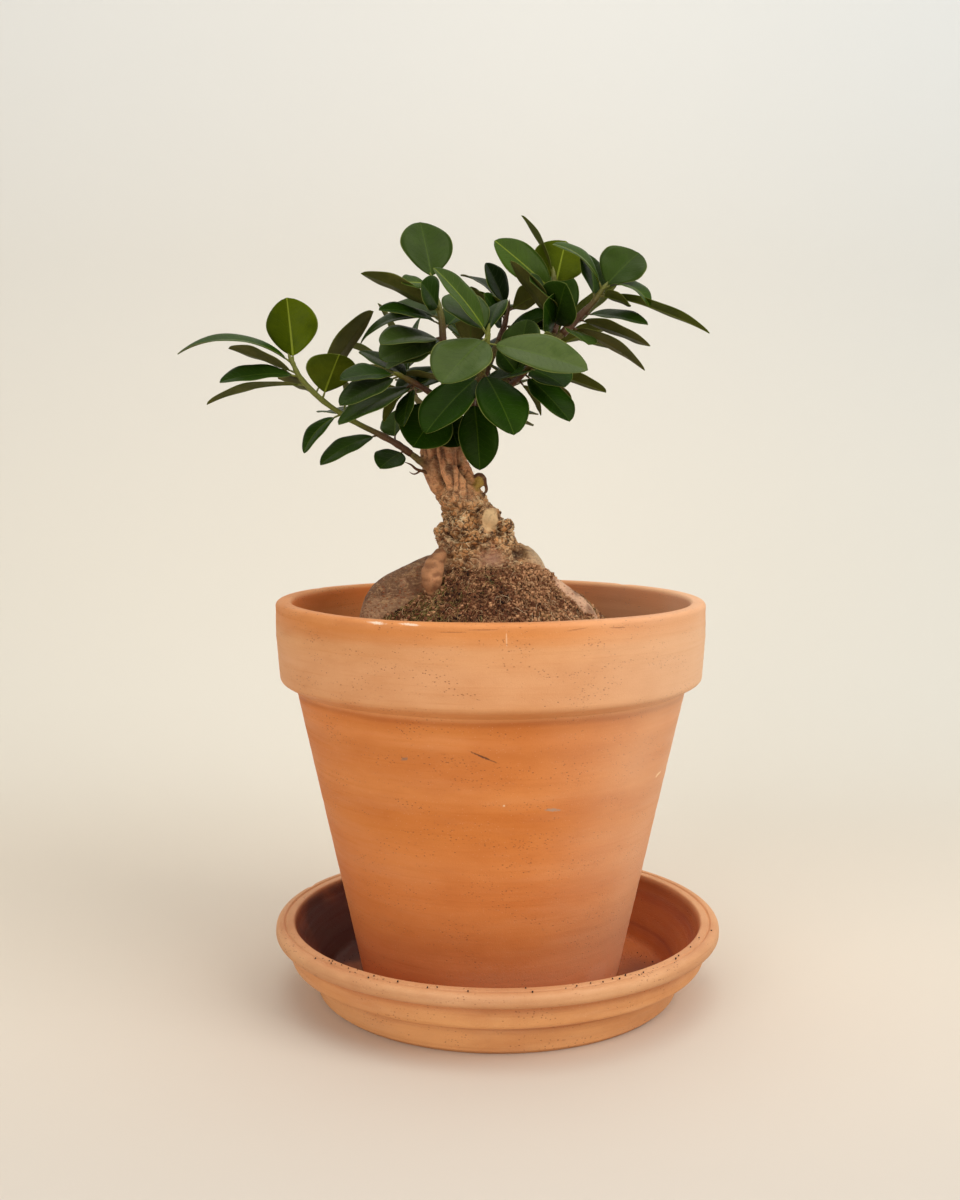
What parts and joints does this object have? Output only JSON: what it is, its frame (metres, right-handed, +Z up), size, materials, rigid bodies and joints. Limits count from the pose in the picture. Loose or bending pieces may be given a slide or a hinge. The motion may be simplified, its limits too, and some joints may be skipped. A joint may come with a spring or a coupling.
{
  "type": "ginseng ficus in a terracotta pot",
  "caption": "Small ginseng ficus tree with a swollen trunk and leathery oval leaves, planted in a collared terracotta flower pot that stands in a matching saucer.",
  "frame": {"origin": "on the surface the saucer stands on, directly under the pot's axis; the saucer's own centre lies 4 mm to the +X side", "axes": "+Z up along the pot's axis, +X to the viewer's right and -Y towards the viewer in the plant's front view, where the trunk leans to -X"},
  "size_m": [0.3101, 0.2636, 0.458],
  "materials": {
    "terracotta": "matte",
    "potting_soil": "matte",
    "fine_roots": "matte",
    "bark": "matte",
    "foliage": "satin"
  },
  "bodies": {
    "root": {"saucer": "terracotta", "pot": "terracotta", "soil": "potting_soil", "root_mat": "fine_roots", "trunk": "bark", "shoot_left": "foliage", "shoot_left_inner": "foliage", "shoot_centre_left": "foliage", "shoot_front": "foliage", "shoot_front_low": "foliage", "shoot_right_tip": "foliage", "shoot_right_top": "foliage", "shoot_right_low": "foliage", "shoot_centre_back": "foliage", "shoot_back_left": "foliage", "shoot_back": "foliage", "shoot_back_right": "foliage", "shoot_back_low": "foliage"}
  },
  "joints": []
}
